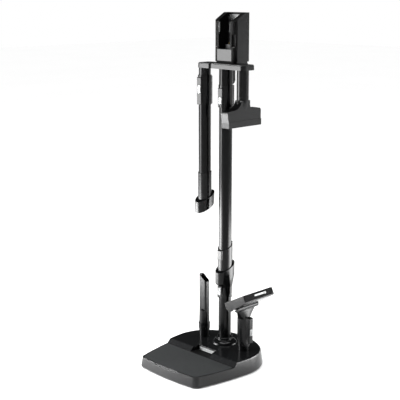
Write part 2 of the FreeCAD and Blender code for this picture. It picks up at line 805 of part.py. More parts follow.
def bar_plan(inset):
    """The crossbar from above: two end pads, a stepped-back middle and a tongue to the rear."""
    end, inner = bar_half - inset, pad_inner
    front, middle = bar_front + inset, bar_front + 5 + inset
    back, tongue = bar_back - inset, dock_back - 2 - inset
    near = end - 3.5
    start = (-inner, front)
    steps = [
        (-inner + 4, middle), (inner - 4, middle), (inner, front), (end - 12, front),
        ((near, front + 3.5), (end, front + 12)), (end, back - 12),
        ((near, back - 3.5), (end - 12, back)), (44, back), (40 - inset, back + 5),
        (40 - inset, tongue), (-40 + inset, tongue), (-40 + inset, back + 5), (-44, back),
        (-end + 12, back), ((-near, back - 3.5), (-end, back - 12)), (-end, front + 12),
        ((-near, front + 3.5), (-end + 12, front)), start,
    ]
    return start, steps


def make_crossbar():
    """Bar that carries the dock and the two hanging places, with sunk holes for its screws."""
    bar = slab("crossbar_body", *bar_plan(0), bar_foot, bar_top - bar_foot)
    sinks = drills("bar_sink", ALL_HEAD_PLACES, 4, bar_top - 2.4, 5)
    holes = drills("bar_hole", ALL_HEAD_PLACES, 1.9, bar_foot - 1, 20)
    return cut("crossbar_whole", bar, sinks, holes)


node(make_crossbar(), "crossbar")
node(slab("crossbar_cover_body", *bar_plan(0.8), bar_top, cover_top - bar_top), "crossbar_cover")
head_screws = [(x, y, bar_top - 0.3) for x, y in ALL_HEAD_PLACES]
node(fuse("head_screw_set", [screw(f"head_screw_{i}", at, 20, 3.6, down=True)
                             for i, at in enumerate(head_screws)]), "head_screws")


def make_stub(name, side, radius, foot, shoulder_radius, shoulder_foot):
    """Hollow stub under the bar that a tool pushes up on to."""
    at = (hang_x * side, hang_y, foot)
    stem = cylinder(f"{name}_stem", radius, bar_foot - foot, at)
    shoulder = cylinder(f"{name}_shoulder", shoulder_radius, bar_foot - shoulder_foot,
                        (at[0], at[1], shoulder_foot))
    hollow = cylinder(f"{name}_hollow", radius - 2.5, bar_foot - foot - 16, (at[0], at[1], foot - 1))
    holes = drills(f"{name}_hole", [(at[0] - 8, at[1]), (at[0] + 8, at[1])], 1.7, bar_foot - 12, 13)
    return cut(f"{name}_whole", fuse(f"{name}_solid", [stem, shoulder]), hollow, holes)


node(make_stub("wand_stub", -1, 15, 805, 17.5, 848), "wand_stub")
node(make_stub("nozzle_stub", 1, 14, 815, 17, 868.8), "nozzle_spigot")


# ---------------------------------------------------------------- dock head

def dock_plan(inset):
    """The dock head from above: round front corners and tight rear ones."""
    half, front, back = dock_half - inset, dock_front + inset, dock_back - inset
    corner = dock_corner - inset
    reach = corner * 0.292893
    start = (-half + corner, front)
    steps = [
        (half - corner, front), ((half - reach, front + reach), (half, front + corner)),
        (half, back - 4), ((half - 1.172, back - 1.172), (half - 4, back)),
        (-half + 4, back), ((-half + 1.172, back - 1.172), (-half, back - 4)),
        (-half, front + corner), ((-half + reach, front + reach), start),
    ]
    return start, steps


cavity_foot, cavity_top = 895, 1018
inlet_z = 907
panel_half, panel_foot, panel_top = 28, 891, 924
scoop_x, scoop_y, scoop_foot, scoop_top = 36.3, -9.4, 930, 966
DOCK_SCREW_PLACES = [(-33.6, -4.6), (33.6, -4.6)]


def make_dock_shell():
    """Dock head: an open channel between two lips, a sloped top and a cavity at the back."""
    body = slab("dock_body", *dock_plan(0), dock_foot, dock_top - dock_foot)
    channel = sketch(body, "XY", "dock_channel_plan", dock_top)
    outline(channel, (-lip_half, dock_front - 5), [
        (lip_half, dock_front - 5), (lip_half, dock_front + 6), (channel_half, dock_front + 6),
        (channel_half, channel_back), (-channel_half, channel_back),
        (-channel_half, dock_front + 6), (-lip_half, dock_front + 6), (-lip_half, dock_front - 5)])
    pocket(body, channel, dock_top - channel_floor, "dock_channel")
    top_side = sketch(body, "YZ", "dock_top_side")
    outline(top_side, (dock_front - 5, dock_front_top), [
        (dock_front + 1, dock_front_top), (35, dock_top - 0.01), (35, dock_top + 5),
        (dock_front - 5, dock_top + 5), (dock_front - 5, dock_front_top)])
    pocket(body, top_side, dock_half * 3, "dock_top_slope", both_ways=True)
    recess = box("dock_recess", (-panel_half - 0.2, dock_front - 5, panel_foot - 0.2),
                 (panel_half + 0.2, dock_front + 3, panel_top + 0.2))
    cavity = box("dock_cavity", (-38, channel_back + 2.5, cavity_foot), (38, dock_back + 5, cavity_top))
    scoops = []
    for i, side in enumerate((-1, 1)):
        scoops.append(cylinder(f"dock_scoop_{i}", 8, scoop_top - scoop_foot,
                               (scoop_x * side, scoop_y, scoop_foot)))
    holes = drills("dock_screw_hole", DOCK_SCREW_PLACES, 1.7, scoop_foot - 12, 15)
    wells = drills("dock_pin_well", PIN_PLACES, 2.9, channel_floor - 6, 8)
    foot = slab("dock_foot_body", *dock_plan(3), cover_top, dock_foot - cover_top)
    whole = fuse("dock_solid", [body, foot])
    return cut("dock_drilled", whole, recess, cavity, holes, wells, *scoops)


PIN_PLACES = [(-8, 22), (0, 22), (8, 22)]
node(make_dock_shell(), "dock_shell")


def make_back_cover():
    """Cover plate over the rear cavity, with a hole for the charging inlet."""
    plate = box("back_cover_plate", (-37.7, dock_back - 3, cavity_foot + 0.3),
                (37.7, dock_back, cavity_top - 0.3))
    hole = cylinder("back_cover_hole", 6.3, 10, (0, dock_back - 6, inlet_z), ALONG_Y)
    return cut("back_cover_whole", plate, hole)


def make_inlet():
    """Charging inlet: a flanged barrel with its centre pin."""
    back = dock_back - 0.2
    barrel = cylinder("inlet_barrel", 6, 6.3, (0, back - 6.3, inlet_z), ALONG_Y)
    bore = cylinder("inlet_bore", 3.2, 6, (0, back - 5, inlet_z), ALONG_Y)
    pin = cylinder("inlet_pin", 0.9, 5.5, (0, back - 6.3, inlet_z), ALONG_Y)
    return fuse("inlet_whole", [cut("inlet_socket", barrel, bore), pin])


def make_charge_board():
    """Circuit board behind the channel, with a block of parts on it."""
    board = box("charge_board_plate", (-30, 45.2, 930), (30, 46.7, 1005))
    chip = box("charge_board_chip", (-12, 43.9, 950), (12, 45.4, 975))
    return fuse("charge_board_whole", [board, chip])


node(make_back_cover(), "dock_back_cover")
node(make_inlet(), "charger_inlet")
node(make_charge_board(), "charge_board")
node(box("front_panel_plate", (-panel_half, dock_front + 0.1, panel_foot),
         (panel_half, dock_front + 3, panel_top)), "dock_front_panel")


def make_yoke():
    """Forked rest that the vacuum's handle hangs in."""
    body = new_body("yoke_body")
    drawn = sketch(body, "XZ", "yoke_front", -channel_back + 7)
    side, horn = channel_half - 0.3, 24
    outline(drawn, (-side, channel_floor), [
        (side, channel_floor), (side, 1016), (horn + 1, 1016), (horn, 1012),
        ((0, 1002), (-horn, 1012)), (-horn - 1, 1016), (-side, 1016), (-side, channel_floor)])
    pad(body, drawn, 4, "yoke_pad", backwards=True)
    return body


node(make_yoke(), "cradle_yoke")


def make_guide_pads():
    """Soft pads on the inner edges of the two lips."""
    pads = []
    for i, side in enumerate((-1, 1)):
        x = (-lip_half, -lip_half + 1.2) if side < 0 else (lip_half - 1.2, lip_half)
        pads.append(box(f"guide_pad_{i}", (x[0], dock_front + 0.8, 972), (x[1], dock_front + 5.2, 1000)))
    return fuse("guide_pad_set", pads)


node(make_guide_pads(), "guide_pads")
block_high = channel_floor + 12


def make_contact_block():
    """Raised block on the channel floor that carries the charging contacts."""
    solid = box("contact_block_solid", (-14, 10, channel_floor), (14, 33.5, block_high))
    wells = drills("contact_well", PIN_PLACES, 2.9, channel_floor - 1, 9)
    holes = drills("contact_hole", PIN_PLACES, 2.0, channel_floor, 14)
    return cut("contact_block_whole", solid, wells, holes)


def make_contact_pins():
    """Three sprung contacts; each has a collar that its spring pushes on."""
    pins = []
    for i, (x, y) in enumerate(PIN_PLACES):
        pins.append(cylinder(f"contact_pin_{i}", 1.7, 12, (x, y, block_high - 8)))
        pins.append(cylinder(f"contact_collar_{i}", 2.6, 2, (x, y, block_high - 6.5)))
    return fuse("contact_pin_set", pins)


node(make_contact_block(), "contact_block")
node(make_contact_pins(), "contact_pins")
node(fuse("pin_spring_set", [tube(f"pin_spring_{i}", 2.5, 1.9, (x, y, channel_floor - 5.9), 11.3)
                             for i, (x, y) in enumerate(PIN_PLACES)]), "pin_springs")
node(fuse("dock_screw_set", [screw(f"dock_screw_{i}", (x, y, scoop_foot + 2.2), 9, 2.1, down=True)
                             for i, (x, y) in enumerate(DOCK_SCREW_PLACES)]), "dock_screws")


# ---------------------------------------------------------------- dusting wand

wand_latch = Latch("wand_latch", latch_face, 796, 820, (-hang_x, hang_y, 0))
wand_end = 786


def make_wand_connector():
    """Top of the wand: pushes up on its stub, and has a release button in a raised rail."""
    foot, top = 763, 847.7
    barrel = cylinder("wand_conn_barrel", 20, top - foot, (0, 0, foot))
    front = rail("wand_conn_front", 9, -latch_face, -12, foot, top - 6, 2)
    back = rail("wand_conn_back", 8, 10, 25, foot + 0.5, top - 3, 3, face_low=False)
    solid = fuse("wand_conn_solid", [barrel, front, back])
    tube_bore = cylinder("wand_conn_tube_bore", wand_radius + 0.05, wand_end - foot + 1, (0, 0, foot - 1))
    airway = cylinder("wand_conn_airway", 14, 40, (0, 0, wand_end - 10))
    socket = cylinder("wand_conn_socket", 15.3, 60, (0, 0, 803))
    shaped = place(cut("wand_conn_shaped", solid, tube_bore, airway, socket), (-hang_x, hang_y, 0))
    return cut("wand_conn_whole", shaped, wand_latch.hollow())


node(make_wand_connector(), "wand_connector")
node(wand_latch.button(), "wand_button")
node(wand_latch.spring(), "wand_button_spring")
node(tube("wand", wand_radius, wand_radius - 1.8, (-hang_x, hang_y, 500), wand_end - 500), "wand_tube")


skirt_low = wand_rim - 34


def tilted_oval(name, less, height, at=(-hang_x, hang_y)):
    return ring_curve(name, oval_half_x - less, oval_half_y - less, (at[0], at[1], height), oval_tilt)


def make_brush_bell():
    """Dusting brush: an oval cup tilted down to the front, on a sleeve around the wand tube."""
    rim = tilted_oval("brush_rim", 0, wand_rim)
    mouth = tilted_oval("brush_mouth", 1, skirt_low)
    neck = cylinder("brush_neck", wand_radius + 2, 110, (-hang_x, hang_y, 476))
    slant = half_space("brush_neck_slant", (-hang_x, hang_y, wand_foot), leaning((1, 0, 0), 8))
    solid = fuse("brush_bell_solid", [loft("brush_bell_cup", [rim, mouth]), neck])
    hollow = loft("brush_bell_hollow", [tilted_oval("brush_inner_top", 4, wand_rim - 8),
                                        tilted_oval("brush_inner_low", 4, skirt_low - 3)])
    airway = cylinder("brush_airway", 14, 60, (-hang_x, hang_y, 460))
    socket = cylinder("brush_socket", wand_radius + 0.05, 90, (-hang_x, hang_y, 500))
    return cut("brush_bell_whole", solid, hollow, airway, socket, slant)


def make_bell_bristles():
    """Ring of soft bristles in the mouth of the cup."""
    outer = loft("bristle_outer", [tilted_oval("bristle_outer_top", 4.1, skirt_low + 6),
                                   tilted_oval("bristle_outer_low", 4.1, skirt_low - 9)])
    inner = loft("bristle_inner", [tilted_oval("bristle_inner_top", 8, skirt_low + 8),
                                   tilted_oval("bristle_inner_low", 8, skirt_low - 12)])
    return cut("bristle_whole", outer, inner)


node(make_brush_bell(), "brush_bell")
node(make_bell_bristles(), "bell_bristles")


# ---------------------------------------------------------------- upholstery nozzle

def make_nozzle_blank():
    """Outside of the nozzle: a round neck, a fan and a long flat head."""
    neck_front, neck_back = hang_y - 17, hang_y + 17
    head = side_slab("nozzle_side", (neck_front, 786), [
        ((-41, 766.5), (-62, 761.5)), (nozzle_front + 4, 760),
        ((nozzle_front - 0.4, 758), (nozzle_front - 2, 754)), (nozzle_front + 5, nozzle_foot),
        (nozzle_back - 3, nozzle_foot), (nozzle_back, nozzle_foot + 4), (nozzle_back, 752),
        ((nozzle_back - 1.7, 758.8), (nozzle_back - 7, 761.8)), (20, 763),
        ((11, 765.5), (neck_back, 774)), (neck_back, 786), (neck_front, 786)], nozzle_half)
    place(head, (hang_x, 0, 0))
    neck = cylinder("nozzle_neck", 17, 868.5 - 789, (hang_x, hang_y, 789))
    fan = loft("nozzle_fan", [ring_curve("nozzle_fan_top", 17, 17, (hang_x, hang_y, 789)),
                              ring_curve("nozzle_fan_low", nozzle_half, 25, (hang_x, hang_y - 3, 757))])
    return fuse("nozzle_solid", [head, neck, fan])


def make_nozzle_body(blank):
    """The nozzle, hollowed from the socket in its neck to the slot in its sole."""
    socket = cylinder("nozzle_socket", 14.3, 90, (hang_x, hang_y, 806))
    airway = cylinder("nozzle_airway", 11, 70, (hang_x, hang_y, 745))
    slot = box("nozzle_slot", (hang_x - 8, nozzle_front + 14, nozzle_foot - 1),
               (hang_x + 8, nozzle_back - 11, 748))
    return cut("nozzle_whole", blank, socket, airway, slot)


def make_nozzle_lip(blank):
    """Rim that stands a little proud around the foot of the nozzle's head."""
    block = box("nozzle_lip_block", (hang_x - nozzle_half - 1, nozzle_front + 2.6, nozzle_foot - 1),
                (hang_x + nozzle_half + 1, nozzle_back + 1, nozzle_foot + 17))
    room = box("nozzle_lip_room", (hang_x - nozzle_half, nozzle_front + 5.2, nozzle_foot - 2),
               (hang_x + nozzle_half, nozzle_back - 0.2, nozzle_foot + 1))
    return cut("nozzle_lip_whole", block, blank, room)


def make_lint_strips():
    """Two pile strips along the sole, one on each side of the slot."""
    strips = []
    for i, side in enumerate((-1, 1)):
        middle = hang_x + 10.5 * side
        strips.append(box(f"lint_strip_{i}", (middle - 1.6, nozzle_front + 24, nozzle_foot - 1.4),
                          (middle + 1.6, nozzle_back - 18, nozzle_foot)))
    return fuse("lint_strip_set", strips)


nozzle_blank = make_nozzle_blank()
node(make_nozzle_body(nozzle_blank), "nozzle_body")
node(make_nozzle_lip(nozzle_blank), "nozzle_lip")
node(make_lint_strips(), "lint_strips")


# ---------------------------------------------------------------- crevice tool

crevice_axis = (-peg_x, peg_y)
tool_foot = block_top + clearance


def at_crevice(height):
    return (crevice_axis[0], crevice_axis[1], height)


def make_crevice_adapter(blank):
    """Round socket of the crevice tool, standing over its peg."""
    foot = cylinder("crevice_foot", 16.5, 26, at_crevice(tool_foot))
    collar = cylinder("crevice_collar", 18, 18, at_crevice(72))
    taper = cone("crevice_taper", 16.2, 14.5, 60, at_crevice(90))
    slant = half_space("crevice_adapter_slant", at_crevice(126), leaning((1, 0, 0), -22))
    bore = cylinder("crevice_bore", 9.3, 60, at_crevice(40))
    solid = fuse("crevice_adapter_solid", [foot, collar, taper])
    return cut("crevice_adapter_whole", solid, bore, slant, blank)


def rounded_rectangle(half_x, half_y, radius):
    """Plan of a rectangle with round corners, about the origin."""
    reach = radius * 0.292893
    start = (-half_x + radius, -half_y)
    return start, [
        (half_x - radius, -half_y), ((half_x - reach, -half_y + reach), (half_x, -half_y + radius)),
        (half_x, half_y - radius), ((half_x - reach, half_y - reach), (half_x - radius, half_y)),
        (-half_x + radius, half_y), ((-half_x + reach, half_y - reach), (-half_x, half_y - radius)),
        (-half_x, -half_y + radius), ((-half_x + reach, -half_y + reach), start)]


def make_crevice_body(blank):
    """Flat suction duct of the crevice tool, cut off at an angle at its tip."""
    plan = rounded_rectangle(crevice_wide / 2 - 2, crevice_deep / 2 - 2, 3)
    room = place(slab("crevice_room", *plan, 90, 160), at_crevice(0))
    middle = crevice_tip - crevice_wide * 0.363
    mouth = half_space("crevice_mouth", at_crevice(middle), leaning((0, 1, 0), 36))
    return cut("crevice_body_whole", blank, room, mouth)


crevice_plan = rounded_rectangle(crevice_wide / 2, crevice_deep / 2, 5)
crevice_blank = place(slab("crevice_slab", *crevice_plan, 98, crevice_tip - 98), at_crevice(0))
node(make_crevice_adapter(crevice_blank), "crevice_adapter")
node(make_crevice_body(crevice_blank), "crevice_body")


# ---------------------------------------------------------------- mini brush

mini_latch = Latch("mini_latch", 31, 96, 117, (peg_x, peg_y, 0), leaning((0, 0, 1), 90))
HEAD_TURN = leaning((0, 1, 0), -head_tilt)
barrel_half = 43


def in_head(thing, at=(0, 0, 0)):
    """Move something from the head's own frame, about its hinge, to where the head is parked."""
    there = HEAD_TURN.multVec(Vector(*[number(size) for size in at]))
    hinge = Vector(number(pivot_x), number(head_y), number(pivot_z))
    thing.Placement = Placement(hinge + there, HEAD_TURN * thing.Placement.Rotation)
    return thing


def across(name, radius, start, length, u=0, w=0):
    """A cylinder along Y in the head's own frame."""
    rod = cylinder(name, radius, length, (0, 0, 0), ALONG_Y)
    return in_head(rod, (u, start, w))


def make_mini_neck():
    """Neck of the mini brush: socket, button housing, fan and hinge barrel."""
    foot = cylinder("mini_foot", 17.5, 16, (peg_x, peg_y, tool_foot))
    column = cylinder("mini_column", 19, 86, (peg_x, peg_y, 60))
    housing = rail("mini_housing", 9, -31, -10, 72, 150, 4)
    place(housing, (peg_x, peg_y, 0), leaning((0, 0, 1), 90))
    fan = loft("mini_fan", [ring_curve("mini_fan_low", 18.9, 18.9, (peg_x, peg_y, 145)),
                            ring_curve("mini_fan_top", 7, barrel_half - 1, (pivot_x, head_y, pivot_z - 6))])
    barrel = across("mini_barrel", 10.5, -barrel_half, barrel_half * 2)
    solid = fuse("mini_neck_solid", [foot, column, housing, fan, barrel])
    bore = cylinder("mini_bore", 12.3, 67, (peg_x, peg_y, 40))
    pin_holes = [across(f"mini_pin_hole_{i}", 3.05, start, 11)
                 for i, start in enumerate((-barrel_half - 1, barrel_half - 10))]
    return cut("mini_neck_whole", solid, bore, mini_latch.hollow(), *pin_holes)


node(make_mini_neck(), "mini_neck")
node(mini_latch.button(), "mini_button")
node(mini_latch.spring(), "mini_button_spring")


def head_slab(name, half):
    """The side outline of the mini brush head, thickened both ways."""
    body = new_body(name)
    drawn = sketch(body, "XZ", f"{name}_side")
    outline(drawn, (-13.2, -2.3), [
        (59.3, 4.4), ((62.9, 5.8), (63.9, 10)), (64, 28), (-17.6, 28),
        ((-20, 13), (-13.2, -2.3))])
    pad(body, drawn, half * 2, f"{name}_pad", both_ways=True)
    return body


def make_head_shell():
    """Shell of the mini brush head: brush chamber in front, cheeks and a cover over the hinge."""
    whole = in_head(head_slab("mini_head_slab", head_half))
    room = in_head(box("mini_room", (0, 0, 0), (40, 2 * barrel_half + 1, 35)),
                   (-27, -barrel_half - 0.5, -22.5))
    chamber = across("mini_chamber", 11.6, 4 - head_half, 2 * head_half - 8, roll_u, roll_w)
    mouth = in_head(box("mini_mouth", (0, 0, 0), (20, 2 * head_half - 8, 20)),
                    (roll_u - 10, 4 - head_half, roll_w + 4))
    shaft_hole = across("mini_shaft_hole", 2.55, -head_half - 1, 2 * head_half + 2, roll_u, roll_w)
    pin_hole = across("mini_cheek_hole", 3.05, -head_half - 1, 2 * head_half + 2)
    return cut("mini_head_whole", whole, room, chamber, mouth, shaft_hole, pin_hole)


def make_end_caps():
    """The two end caps, which also cover the ends of the shaft and of the hinge pins."""
    outer = in_head(head_slab("mini_cap_slab", head_half + cap_thick))
    inner = in_head(box("mini_cap_room", (0, 0, 0), (110, 2 * head_half, 70)), (-40, -head_half, -20))
    return cut("mini_end_cap_set", outer, inner)


def make_pivot_pins():
    pins = [across(f"mini_pivot_pin_{i}", 3, start, 23.5)
            for i, start in enumerate((0.2 - head_half, head_half - 23.7))]
    return fuse("mini_pivot_pin_set", pins)


def make_brush_roll():
    """Core of the brush roll and its two stub shafts."""
    core = across("roll_core", 6, 4.6 - head_half, 2 * head_half - 9.2, roll_u, roll_w)
    shaft = across("roll_shaft", 2.5, 0.5 - head_half, 2 * head_half - 1, roll_u, roll_w)
    return fuse("roll_whole", [core, shaft])


def make_roll_bristles():
    """Six rows of bristles around the roll."""
    rows_made = []
    half = head_half - 5
    for i in range(6):
        row = doc.addObject("Part::Box", f"bristle_row_{i}")
        row.Length, row.Width, row.Height = 5.1, number(half * 2), 1.8
        swing = Rotation(Vector(0, 1, 0), i * 60 + 30)
        base = swing.multVec(Vector(6, 0, -0.9))
        row.Placement = Placement(Vector(0, 0, 0), swing)
        rows_made.append(in_head(row, (roll_u + base.x, -half, roll_w + base.z)))
    return fuse("roll_bristle_set", rows_made)


node(make_head_shell(), "mini_head_shell")
node(make_end_caps(), "mini_end_caps")
node(make_pivot_pins(), "mini_pivot_pins")
node(make_brush_roll(), "brush_roll")
node(make_roll_bristles(), "roll_bristles")


# ---------------------------------------------------------------- check and export

doc.recompute()
for thing in doc.Objects:
    if "Invalid" in thing.State or "Error" in thing.State:
        raise RuntimeError(f"{thing.Name} did not recompute: {thing.State}")
os.makedirs("parts", exist_ok=True)
for item in nodes:
    if item.Shape.isNull() or not item.Shape.isValid():
        raise RuntimeError(f"{item.Label} has no valid shape")
    item.Shape.exportStep(f"parts/{item.Label}.step")
    print(f"{item.Label}: {len(item.Shape.Solids)} solids, {item.Shape.Volume / 1000:.1f} cm3")
print(f"{len(nodes)} nodes exported")
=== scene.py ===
# %% [markdown]
# # A floor dock for a stick vacuum
# The stand is mostly black moulded plastic and painted tube, so its looks come from three
# things: how the light meets the gloss, how soft the moulded edges are, and the small rough
# things against it, such as bristles, pile and rubber. The engineering model gives every
# shape its place, and this lesson dresses it.

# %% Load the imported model
import json
import math

import bmesh
import bpy
from mathutils import Euler, Matrix, Vector


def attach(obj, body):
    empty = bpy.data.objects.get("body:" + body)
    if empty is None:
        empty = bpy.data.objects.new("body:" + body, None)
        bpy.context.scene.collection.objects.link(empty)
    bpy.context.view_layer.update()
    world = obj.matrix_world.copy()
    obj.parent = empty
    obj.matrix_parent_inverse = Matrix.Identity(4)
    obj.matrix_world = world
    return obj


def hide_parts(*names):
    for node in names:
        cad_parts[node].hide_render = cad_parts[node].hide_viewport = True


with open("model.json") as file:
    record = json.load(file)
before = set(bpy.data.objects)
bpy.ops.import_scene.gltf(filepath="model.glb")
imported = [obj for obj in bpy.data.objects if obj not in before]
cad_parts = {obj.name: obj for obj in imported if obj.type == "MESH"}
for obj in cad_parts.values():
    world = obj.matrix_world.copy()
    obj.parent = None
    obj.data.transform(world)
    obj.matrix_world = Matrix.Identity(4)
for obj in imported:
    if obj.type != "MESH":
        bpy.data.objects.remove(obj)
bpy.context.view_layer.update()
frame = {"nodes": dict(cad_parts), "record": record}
nodes = frame["nodes"]
body_of_node = {}
for body_name, members in frame["record"]["behaviour"]["bodies"].items():
    for member in members:
        body_of_node[member] = body_name
MM = 0.001

# %% [markdown]
# ## Camera
# A long lens from the front right corner, a little above the crossbar, keeps the tall post
# almost free of perspective. The small sideways shift centres the stand in the frame
# without turning the camera, so upright lines stay upright.

# %% Camera
LOOK_DOWN = 12.46
camera_data = bpy.data.cameras.new("studio_camera")
camera_data.lens = 85.6
camera_data.sensor_width = 36
camera_data.shift_x = -0.0114
camera = bpy.data.objects.new("studio_camera", camera_data)
camera.location = (1.882, -1.968, 1.088)
camera.rotation_euler = Euler((math.radians(90 - LOOK_DOWN), 0, math.radians(45)))
bpy.context.collection.objects.link(camera)
bpy.context.scene.camera = camera
print("camera height", camera.location.z)

# %% [markdown]
# ## Studio
# The floor could curve up into a wall behind the stand, as paper does in a real studio. A flat
# square is enough here, because it reaches far past the picture and the room behind is white.

# %% Floor
REACH = 14
floor_mesh = bpy.data.meshes.new("studio_floor")
floor_corners = [(-REACH, -REACH, 0), (REACH, -REACH, 0), (REACH, REACH, 0), (-REACH, REACH, 0)]
floor_mesh.from_pydata(floor_corners, [], [(0, 1, 2, 3)])
floor = bpy.data.objects.new("studio_floor", floor_mesh)
bpy.context.collection.objects.link(floor)
print("floor laid")

# %% [markdown]
# ## Lamps
# Black gloss shows the room more than itself. The tall softbox on the left whitens every face
# that looks to the front, and the weaker one behind on the right greys the faces that look
# right. Two lamps just above the floor light a patch of it on either side of the stand, and
# the low front and side faces mirror those patches. A very soft sun overhead stands for a lit
# ceiling and turns the floor white.


# %% Softboxes and ceiling
def softbox(name, at, towards, width, height, watts):
    """A rectangular lamp that faces a point."""
    lamp = bpy.data.lights.new(name, "AREA")
    lamp.shape = "RECTANGLE"
    lamp.size, lamp.size_y = width, height
    lamp.energy = watts
    holder = bpy.data.objects.new(name, lamp)
    holder.location = at
    facing = Vector(towards) - Vector(at)
    holder.rotation_euler = facing.to_track_quat("-Z", "Y").to_euler()
    bpy.context.collection.objects.link(holder)


def ceiling(name, height, strength, spread):
    """A sun straight overhead, as soft as a lit ceiling of that spread in degrees."""
    lamp = bpy.data.lights.new(name, "SUN")
    lamp.energy = strength
    lamp.angle = math.radians(spread)
    holder = bpy.data.objects.new(name, lamp)
    holder.location = (0, 0, height)
    bpy.context.collection.objects.link(holder)


softbox("left_softbox", (-2.3, -2.5, 0.92), (0, 0, 0.75), 1.5, 2.1, 180)
softbox("right_softbox", (2.6, 2.4, 1.2), (0, 0, 0.6), 2.0, 2.4, 20)
softbox("left_floor_wash", (-1.2, -1.15, 0.25), (-1.2, -1.15, 0), 1.3, 1.3, 260)
softbox("right_floor_wash", (0.95, 0.9, 0.2), (0.95, 0.9, 0), 1.1, 1.1, 110)
ceiling("ceiling_sun", 4, 3.45, 50)
print(len(bpy.data.lights), "lamps")

# %% [markdown]
# ## Writing nodes as sums
# A material is easier to read as a formula than as a web of links. `Wire` wraps one socket and
# answers to + - and * by adding Math nodes, and `Bench` adds any other node in one call.


# %% Socket maths
class Wire:
    """One output socket that can be used in a formula."""

    def __init__(self, bench, socket):
        self.bench, self.socket = bench, socket

    def _math(self, operation, first, second):
        return self.bench.node("ShaderNodeMath", {"operation": operation}, {0: first, 1: second})

    def __add__(self, other):
        return self._math("ADD", self, other)

    def __radd__(self, other):
        return self._math("ADD", other, self)

    def __sub__(self, other):
        return self._math("SUBTRACT", self, other)

    def __rsub__(self, other):
        return self._math("SUBTRACT", other, self)

    def __mul__(self, other):
        return self._math("MULTIPLY", self, other)

    def __rmul__(self, other):
        return self._math("MULTIPLY", other, self)


class Bench:
    """A node tree with one way of adding a node."""

    def __init__(self, tree):
        self.tree = tree

    def node(self, kind, settings=None, values=None, out=0):
        """Add a node, change its settings, then fill or link its sockets."""
        made = self.tree.nodes.new(kind)
        for key, value in (settings or {}).items():
            setattr(made, key, value)
        for key, value in (values or {}).items():
            if isinstance(value, Wire):
                self.tree.links.new(value.socket, made.inputs[key])
            else:
                made.inputs[key].default_value = value
        return Wire(self, made.outputs[out]) if made.outputs else made


print("socket maths ready")

# %% [markdown]
# ## The room
# Rays from the lens see plain white, as behind any catalogue picture. Reflections see a dim
# grey room, or black plastic would look white all over.

# %% World
ROOM_GLOW = 0.03
world = bpy.data.worlds.new("studio_room")
world.use_nodes = True
world.node_tree.nodes.clear()
room = Bench(world.node_tree)
seen = room.node("ShaderNodeLightPath", out="Is Camera Ray")
shade = seen * (1 - ROOM_GLOW) + ROOM_GLOW
glow = room.node("ShaderNodeBackground", values={"Color": (1, 1, 1, 1), "Strength": shade})
room.node("ShaderNodeOutputWorld", values={"Surface": glow})
bpy.context.scene.world = world
bpy.context.scene.view_settings.view_transform = "Standard"
print("room lit")

# %% [markdown]
# ## Finishes
# Each finish is one recipe: a slow cloud that shifts the colour, a smudge that shifts the
# roughness, and a fine grain that bends the surface. Only the amounts differ between satin
# moulding, textured deck, painted tube, rubber and bristle.


# %% One recipe for every surface
def new_material(name):
    material = bpy.data.materials.new(name)
    material.use_nodes = True
    material.node_tree.nodes.clear()
    return material, Bench(material.node_tree)


def surface(name, dark, light, roughness, smudge=0.08, grain=700, lift=0.03, stretch=(1, 1, 1),
            metallic=0.0, specular=0.5, blotch=9.0):
    """A finish from a colour range, a roughness with smudges, and a grain in the surface."""
    material, bench = new_material(name)
    place = bench.node("ShaderNodeTexCoord", out="Object")
    along = bench.node("ShaderNodeMapping", values={"Vector": place, "Scale": stretch})
    cloud = bench.node("ShaderNodeTexNoise", values={"Vector": along, "Scale": blotch, "Detail": 3.0})
    wipe = bench.node("ShaderNodeTexNoise", values={"Vector": along, "Scale": 41.0, "Detail": 5.0,
                                                    "Roughness": 0.62})
    speck = bench.node("ShaderNodeTexNoise", values={"Vector": along, "Scale": grain, "Detail": 2.0})
    mix = cloud * 0.7 + speck * 0.3
    colour = bench.node("ShaderNodeMix", {"data_type": "RGBA"},
                        {0: mix, 6: (*dark, 1), 7: (*light, 1)}, out=2)
    rough = (wipe - 0.5) * smudge + (speck - 0.5) * (smudge * 0.5) + roughness
    bump = bench.node("ShaderNodeBump", values={"Height": speck, "Strength": lift, "Distance": 0.0006})
    shader = bench.node("ShaderNodeBsdfPrincipled", values={
        "Base Color": colour, "Roughness": rough, "Normal": bump, "Metallic": metallic,
        "Specular IOR Level": specular})
    bench.node("ShaderNodeOutputMaterial", values={"Surface": shader})
    return material


print("recipe ready")

# %% [markdown]
# The painted tubes are the darkest and glossiest black, the mouldings come next, and the deck
# and the rubber are paler and rough. A low specular level keeps the deep blacks from turning
# grey under the ceiling. The fittings inside are iron, steel, brass and green board.

